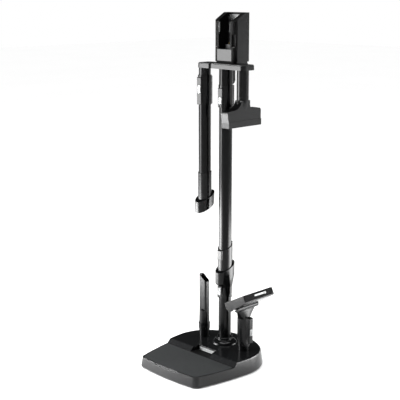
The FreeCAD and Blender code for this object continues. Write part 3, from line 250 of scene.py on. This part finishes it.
# %% The finishes
finishes = {
    "gloss_black": surface("satin_moulding", (0.0022, 0.0023, 0.0025), (0.004, 0.0042, 0.0045), 0.18,
                           smudge=0.08, grain=900, lift=0.03, specular=0.18),
    "base_gloss": surface("base_moulding", (0.0035, 0.0037, 0.004), (0.006, 0.0063, 0.0067), 0.22,
                          smudge=0.08, grain=900, lift=0.03, specular=0.34),
    "matte_black": surface("textured_moulding", (0.006, 0.0063, 0.0066), (0.011, 0.0114, 0.0118), 0.5,
                           smudge=0.10, grain=1500, lift=0.2, specular=0.3),
    "deck_skin": surface("deck_texture", (0.022, 0.0235, 0.024), (0.029, 0.0305, 0.031), 0.62,
                         smudge=0.10, grain=1500, lift=0.3, specular=0.15),
    # painted shade: a near-black, barely shiny copy of the moulding for the channel, lips, deck ledge and
    # rim
    "painted_shade": surface("painted_shade_moulding", (0.002, 0.002, 0.002), (0.004, 0.004, 0.004), 0.6,
                           smudge=0.10, grain=1200, lift=0.2, specular=0.06),
    "tube_black": surface("painted_tube", (0.0012, 0.0013, 0.0014), (0.0024, 0.0025, 0.0027), 0.15,
                          smudge=0.07, grain=1100, lift=0.02, stretch=(1, 1, 0.06), specular=0.13),
    "button_grey": surface("pale_button", (0.16, 0.165, 0.165), (0.24, 0.245, 0.245), 0.38,
                           smudge=0.06, grain=1200, lift=0.05),
    "rubber_black": surface("soft_rubber", (0.028, 0.028, 0.028), (0.044, 0.044, 0.043), 0.66,
                            smudge=0.12, grain=1300, lift=0.3),
    "steel": surface("turned_steel", (0.42, 0.42, 0.41), (0.60, 0.60, 0.59), 0.32,
                     smudge=0.12, grain=1600, lift=0.05, metallic=1.0),
    "ballast_iron": surface("cast_ballast", (0.10, 0.10, 0.10), (0.17, 0.165, 0.16), 0.6,
                            smudge=0.15, grain=500, lift=0.5, metallic=0.6),
    "contact_brass": surface("contact_plating", (0.72, 0.52, 0.22), (0.86, 0.66, 0.32), 0.22,
                             smudge=0.10, grain=1500, lift=0.03, metallic=1.0),
    "bristle": surface("nylon_bristle", (0.020, 0.020, 0.020), (0.070, 0.070, 0.068), 0.55,
                       smudge=0.15, grain=1400, lift=0.1, stretch=(1, 1, 0.1)),
    # painted reflection: a pale grey that stands for the left softbox seen in the channel's back wall
    "painted_reflection": surface("painted_reflection", (0.20, 0.205, 0.205), (0.24, 0.245, 0.245), 0.5,
                           smudge=0.06, grain=1200, lift=0.1),
    "pale_rubber": surface("pale_rubber", (0.42, 0.43, 0.43), (0.52, 0.53, 0.53), 0.6,
                           smudge=0.08, grain=1300, lift=0.1),
    "pale_strip": surface("pale_strip", (0.62, 0.63, 0.63), (0.70, 0.71, 0.71), 0.42,
                          smudge=0.06, grain=1200, lift=0.05),
    "board_green": surface("circuit_board", (0.010, 0.090, 0.035), (0.016, 0.140, 0.055), 0.4,
                           smudge=0.1, grain=600, lift=0.1),
    "lint_pile": surface("lint_pile", (0.16, 0.012, 0.012), (0.30, 0.03, 0.03), 0.85,
                         smudge=0.1, grain=1500, lift=0.4),
}
print(len(finishes), "finishes")

# %% [markdown]
# ## Floor finish
# Seamless paper is never one white: a very soft cloud keeps it from looking like plastic.

# %% Paper floor
floor.data.materials.append(surface("seamless_paper", (0.90, 0.90, 0.90), (0.94, 0.94, 0.94), 0.85,
                                    smudge=0.05, grain=60, lift=0.02, blotch=1.2))
print("floor papered")

# %% [markdown]
# ## Dressing the frame
# Every sub-part of the engineering model takes the finish of its material slot.

# %% Dress the sub-parts
slot_of = {entry["node"]: entry["material_slot"] for entry in frame["record"]["subparts"]}
look_of = dict(slot_of, deck_panel="deck_skin", base_shell="base_gloss")


def wear(piece, finish):
    """Give every face of a piece one finish."""
    piece.data.materials.clear()
    piece.data.materials.append(finishes[finish])
    for face in piece.data.polygons:
        face.material_index = 0


for name, piece in nodes.items():
    wear(piece, look_of[name])
print("dressed", len(nodes))

# %% [markdown]
# ## Soft edges
# Nothing that comes out of a mould has a sharp edge, and the thin bright line along a rounded
# edge is most of what makes black plastic readable. A copy of each moulding gets its
# triangles joined, a rounded bevel on the real edges only, and then stands in for the original.
# The Bevel modifier does it, and weighted normals keep the large faces flat. Both are turned
# into plain mesh, as every modifier in this lesson is.


# %% Moulded copies
REAL_EDGE = 38


def settle(piece):
    """Turn a piece's modifiers into plain mesh."""
    graph = bpy.context.evaluated_depsgraph_get()
    final = bpy.data.meshes.new_from_object(piece.evaluated_get(graph))
    piece.modifiers.clear()
    piece.data = final


def moulded(name, width):
    """Replace a sub-part by a copy whose sharp edges are rounded."""
    source = nodes[name]
    work = bmesh.new()
    work.from_mesh(source.data)
    bmesh.ops.remove_doubles(work, verts=work.verts, dist=2e-6)
    bmesh.ops.dissolve_limit(work, angle_limit=math.radians(0.4), verts=work.verts, edges=work.edges)
    for face in work.faces:
        face.smooth = True
    mesh = bpy.data.meshes.new(f"{name}_moulded")
    work.to_mesh(mesh)
    work.free()
    piece = bpy.data.objects.new(f"{name}_moulded", mesh)
    bpy.context.collection.objects.link(piece)
    bevel = piece.modifiers.new("rounding", "BEVEL")
    bevel.width = width * MM
    bevel.segments = 3
    bevel.limit_method = "ANGLE"
    bevel.angle_limit = math.radians(REAL_EDGE)
    bevel.use_clamp_overlap = True
    weigh = piece.modifiers.new("flat_faces", "WEIGHTED_NORMAL")
    weigh.keep_sharp = True
    weigh.weight = 80
    settle(piece)
    wear(piece, look_of[name])
    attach(piece, body_of_node[name])
    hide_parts(name)
    return piece


print("edges sharper than", REAL_EDGE, "degrees are rounded")

# %% [markdown]
# The large shells have the roundest edges. The widths are in millimetres.

# %% How round each moulding is
ROUNDINGS = {
    "base_shell": 1.6, "dock_shell": 1.2, "crossbar": 1.2, "crossbar_cover": 0.8, "nozzle_body": 1.2,
    "nozzle_lip": 0.4, "mini_head_shell": 1.0, "mini_end_caps": 1.2, "mini_neck": 1.0,
    "lower_connector": 0.6, "upper_connector": 0.6, "wand_connector": 0.6, "elbow_bell": 0.9,
    "elbow_sleeve": 0.5, "brush_bell": 0.7, "crevice_body": 0.5, "crevice_adapter": 0.7,
    "cradle_yoke": 0.7, "contact_block": 0.7, "dock_front_panel": 0.5, "ribbed_stop": 0.4,
    "post_flange": 0.4,
}
for name, width in ROUNDINGS.items():
    piece = moulded(name, width)
    print(piece.name, len(piece.data.polygons), "faces")

# %% [markdown]
# ## A second finish on some faces
# A moulding can wear more than one finish, and a rule on the place and the direction of a face
# picks which. The inside of the dock's channel and the two lips beside its mouth get painted
# shade, a dull near-black, so the opening reads as deep. The channel's back wall, seen over the
# yoke, is painted pale as a painted reflection of the left softbox.


# %% Painted shade and reflection in the channel
def face_finish(name, finish, chosen):
    """Give a finish to the faces of a moulded copy that a rule chooses."""
    piece = bpy.data.objects[f"{name}_moulded"]
    piece.data.materials.append(finishes[finish])
    faces = [face for face in piece.data.polygons if chosen(face.center / MM, face.normal)]
    for face in faces:
        face.material_index = len(piece.data.materials) - 1
    print(piece.name, "has", len(faces), "faces of", finish)


def in_channel(middle):
    return abs(middle.x) < 27.6 and -1 < middle.y < 41.6 and 924.5 < middle.z < 1022


# Faces inside the channel and on the lips get painted shade.
def shaded_in_dock(middle, normal):
    lip = middle.y < 6 and normal.y < -0.3
    return lip or in_channel(middle) and normal.z < 0.9


# The back wall faces get the painted reflection of the left softbox.
def back_wall(middle, normal):
    return in_channel(middle) and middle.y > 40 and normal.y < -0.9


face_finish("dock_shell", "painted_shade", shaded_in_dock)
face_finish("dock_shell", "painted_reflection", back_wall)

# %% [markdown]
# The narrow ledge around the deck panel gets the painted shade too, and draws the dark line
# that frames the panel as painted shade in the gap. The blunt front end of the nozzle is dull as well.


# %% Deck ledge and nozzle end
def deck_ledge(middle, normal):
    return normal.z > 0.9 and 32.5 < middle.z < 34.5


def nozzle_end(middle, normal):
    return normal.y < -0.5 and middle.y < -60


# painted shade: the dark line in the gap around the deck panel
face_finish("base_shell", "painted_shade", deck_ledge)
face_finish("nozzle_body", "matte_black", nozzle_end)
face_finish("nozzle_lip", "matte_black", nozzle_end)

# %% [markdown]
# ## Bristles and pile
# Hair is one rule used three times. A cloud of seed points says where each hair stands and
# which way it aims, and a Geometry Nodes tree puts a thin tapered hair on every seed with a
# little random lean and length. The dusting brush, the roller and the lint strips differ only
# in their seeds and in the numbers fed to the tree.


# %% The hair tree
def hair_tree():
    """Node group: seed points with an aim in, a plain mesh of hairs out."""
    tree = bpy.data.node_groups.new("hair_on_seeds", "GeometryNodeTree")
    face = tree.interface
    face.new_socket("Seeds", in_out="INPUT", socket_type="NodeSocketGeometry")
    for label, kind in (("Length", "NodeSocketFloat"), ("Thickness", "NodeSocketFloat"),
                        ("Lean", "NodeSocketFloat"), ("Random seed", "NodeSocketInt"),
                        ("Finish", "NodeSocketMaterial")):
        face.new_socket(label, in_out="INPUT", socket_type=kind)
    face.new_socket("Hairs", in_out="OUTPUT", socket_type="NodeSocketGeometry")
    bench = Bench(tree)
    given = tree.nodes.new("NodeGroupInput").outputs
    asked = {label: Wire(bench, given[label]) for label in
             ("Seeds", "Length", "Thickness", "Lean", "Random seed", "Finish")}
    hair = bench.node("GeometryNodeMeshCone", {"fill_type": "NONE"}, {
        "Vertices": 5, "Side Segments": 1, "Radius Top": asked["Thickness"] * 0.35,
        "Radius Bottom": asked["Thickness"], "Depth": asked["Length"]})
    points = bench.node("GeometryNodeMeshToPoints", values={"Mesh": asked["Seeds"]})
    aim = bench.node("GeometryNodeInputNamedAttribute", {"data_type": "FLOAT_VECTOR"}, {"Name": "aim"})
    stray = bench.node("FunctionNodeRandomValue", {"data_type": "FLOAT_VECTOR"}, {
        0: (-1.0, -1.0, -1.0), 1: (1.0, 1.0, 1.0), "Seed": asked["Random seed"]})
    lean = bench.node("ShaderNodeVectorMath", {"operation": "SCALE"}, {0: stray, "Scale": asked["Lean"]})
    heading = bench.node("ShaderNodeVectorMath", {"operation": "ADD"}, {0: aim, 1: lean})
    turn = bench.node("FunctionNodeAlignRotationToVector", {"axis": "Z"}, {"Vector": heading})
    stretch = bench.node("FunctionNodeRandomValue", {"data_type": "FLOAT"}, {
        2: 0.86, 3: 1.0, "Seed": asked["Random seed"] + 7})
    size = bench.node("ShaderNodeCombineXYZ", values={"X": 1.0, "Y": 1.0, "Z": stretch})
    placed = bench.node("GeometryNodeInstanceOnPoints", values={
        "Points": points, "Instance": hair, "Rotation": turn, "Scale": size})
    real = bench.node("GeometryNodeRealizeInstances", values={"Geometry": placed})
    dressed = bench.node("GeometryNodeSetMaterial", values={"Geometry": real, "Material": asked["Finish"]})
    tree.links.new(dressed.socket, tree.nodes.new("NodeGroupOutput").inputs["Hairs"])
    return tree


hairs = hair_tree()
print(hairs.name, "has", len(hairs.nodes), "nodes")

# %% [markdown]
# The tree reads a mesh of loose points that carry an attribute called aim. `grow` makes that
# mesh from a list of seeds, puts the tree on it, and fills in the tree's inputs by their
# identifiers. The hairs then become plain mesh and ride on the body of their sub-part.


# %% Growing hair on a sub-part
def grow(node_name, seeds, finish, replace=True, **numbers):
    """Put hairs on a list of seeds, each a root and an aim, and let them stand for a sub-part."""
    mesh = bpy.data.meshes.new(f"{node_name}_hair")
    mesh.from_pydata([root for root, _ in seeds], [], [])
    aims = mesh.attributes.new("aim", "FLOAT_VECTOR", "POINT")
    for record, (_, aim) in zip(aims.data, seeds):
        record.vector = aim
    piece = bpy.data.objects.new(f"{node_name}_hair", mesh)
    bpy.context.collection.objects.link(piece)
    growth = piece.modifiers.new("hair", "NODES")
    growth.node_group = hairs
    values = dict(numbers, Finish=finishes[finish])
    for item in hairs.interface.items_tree:
        if item.in_out == "INPUT" and item.name in values:
            growth[item.identifier] = values[item.name]
    settle(piece)
    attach(piece, body_of_node[node_name])
    if replace:
        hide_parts(node_name)
    print(piece.name, len(seeds), "hairs")


print("ready to grow")

# %% [markdown]
# The dusting brush has five rings of soft hair in its tilted oval mouth. A ring is an ellipse
# that dips to the front with the cup, and its hairs point along the wand.

# %% Dusting brush hair
OVAL_TILT = math.radians(24)
mouth = Vector((-75, -10, 455.5)) * MM
brush_seeds = []
RINGS, PER_RING = 5, 150
for ring in range(RINGS):
    half_x, half_y = 19.6 - ring * 0.9, 31.6 - ring * 0.9
    for i in range(PER_RING):
        angle = math.tau * (i + 0.5 * (ring % 2)) / PER_RING
        x, y = half_x * math.cos(angle), half_y * math.sin(angle)
        offset = Vector((x, y * math.cos(OVAL_TILT), y * math.sin(OVAL_TILT) + 2)) * MM
        brush_seeds.append((mouth + offset, (0.10 * math.cos(angle), 0.10 * math.sin(angle), -1.0)))
grow("bell_bristles", brush_seeds, "bristle", Length=12.5 * MM, Thickness=0.42 * MM, Lean=0.10,
     **{"Random seed": 11})

# %% [markdown]
# The roller carries six rows of stiffer hair. Each row is three hairs deep and follows the
# roll from end to end, with the hairs aimed straight out from its axis.

# %% Roller hair
HEAD_TILT = math.radians(-28)
head_turn = Matrix.Rotation(HEAD_TILT, 3, "Y")
hinge = Vector((92, -5, 184)) * MM
roll_centre = hinge + head_turn @ Vector((48, 0, 18)) * MM
roller_seeds = []
ROWS = 6
for row in range(ROWS):
    angle = math.radians(row * 360 / ROWS + 30)
    out = head_turn @ Vector((math.cos(angle), 0, -math.sin(angle)))
    side = head_turn @ Vector((math.sin(angle), 0, math.cos(angle)))
    for i in range(118):
        along = Vector((0, -52.2 + i * 0.89, 0)) * MM
        for depth in (-0.6, 0, 0.6):
            root = roll_centre + along + out * 5.8 * MM + side * depth * MM
            roller_seeds.append((root, tuple(out)))
grow("roll_bristles", roller_seeds, "bristle", Length=5.2 * MM, Thickness=0.30 * MM, Lean=0.07,
     **{"Random seed": 23})

# %% [markdown]
# The pile strips are short and dense. Their hairs lean a good deal, as woven pile does.

# %% Lint pile
pile_seeds = []
for side in (-1, 1):
    for i in range(180):
        for across in range(6):
            x = 75 + 10.5 * side - 1.3 + across * 0.52
            y = -57.5 + i * 0.509
            pile_seeds.append((Vector((x, y, 714.0)) * MM, (0, 0, -1.0)))
grow("lint_strips", pile_seeds, "lint_pile", replace=False, Length=1.9 * MM, Thickness=0.22 * MM,
     Lean=0.25, **{"Random seed": 31})

# %% [markdown]
# ## Small fittings
# What is left is small and box-shaped, so one helper makes a box with rounded edges from two
# of its corners. It can be turned and moved, for the mini brush head leans.


# %% A rounded slab
def slab_piece(name, corners, body, finish, turn=Matrix.Identity(3), at=Vector((0, 0, 0))):
    """A box with rounded edges, given by its low and high corners in a turned frame."""
    low, high = (Vector(corner) * MM for corner in corners)
    work = bmesh.new()
    bmesh.ops.create_cube(work, size=1.0)
    for vertex in work.verts:
        spot = Vector([low[i] + (high[i] - low[i]) * (vertex.co[i] + 0.5) for i in range(3)])
        vertex.co = turn @ spot + at
    bmesh.ops.bevel(work, geom=work.edges, offset=0.25 * MM, segments=2, affect="EDGES")
    mesh = bpy.data.meshes.new(name)
    work.to_mesh(mesh)
    work.free()
    piece = bpy.data.objects.new(name, mesh)
    bpy.context.collection.objects.link(piece)
    piece.data.materials.append(finishes[finish])
    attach(piece, body)


print("slab ready")

# %% [markdown]
# Three ribs of pale rubber stand out on the stop at the back of the notch, a blank pale strip
# lies along the front of the mini brush head, and a dark rim of painted shade tops the dock's
# back wall.

# %% Ribs, strip and rim
RIBS, LOWEST_RIB, RIB_PITCH = 3, 35.6, 3.4
for i in range(RIBS):
    level = LOWEST_RIB + i * RIB_PITCH
    slab_piece(f"stop_rib_{i}", ((-29.5, -77.2, level), (29.5, -73.5, level + 1.3)), "stand",
               "pale_rubber")
slab_piece("bumper_strip", ((63.2, -18, 16), (64.5, 32, 21.5)), "mini_head", "pale_strip",
           head_turn, hinge)
# painted shade: a dark band along the top of the back wall, above its painted reflection
slab_piece("painted_shade_rim", ((-27, 40.2, 1020.5), (27, 41.4, 1025.9)), "stand", "painted_shade")
print(RIBS + 2, "fittings added")
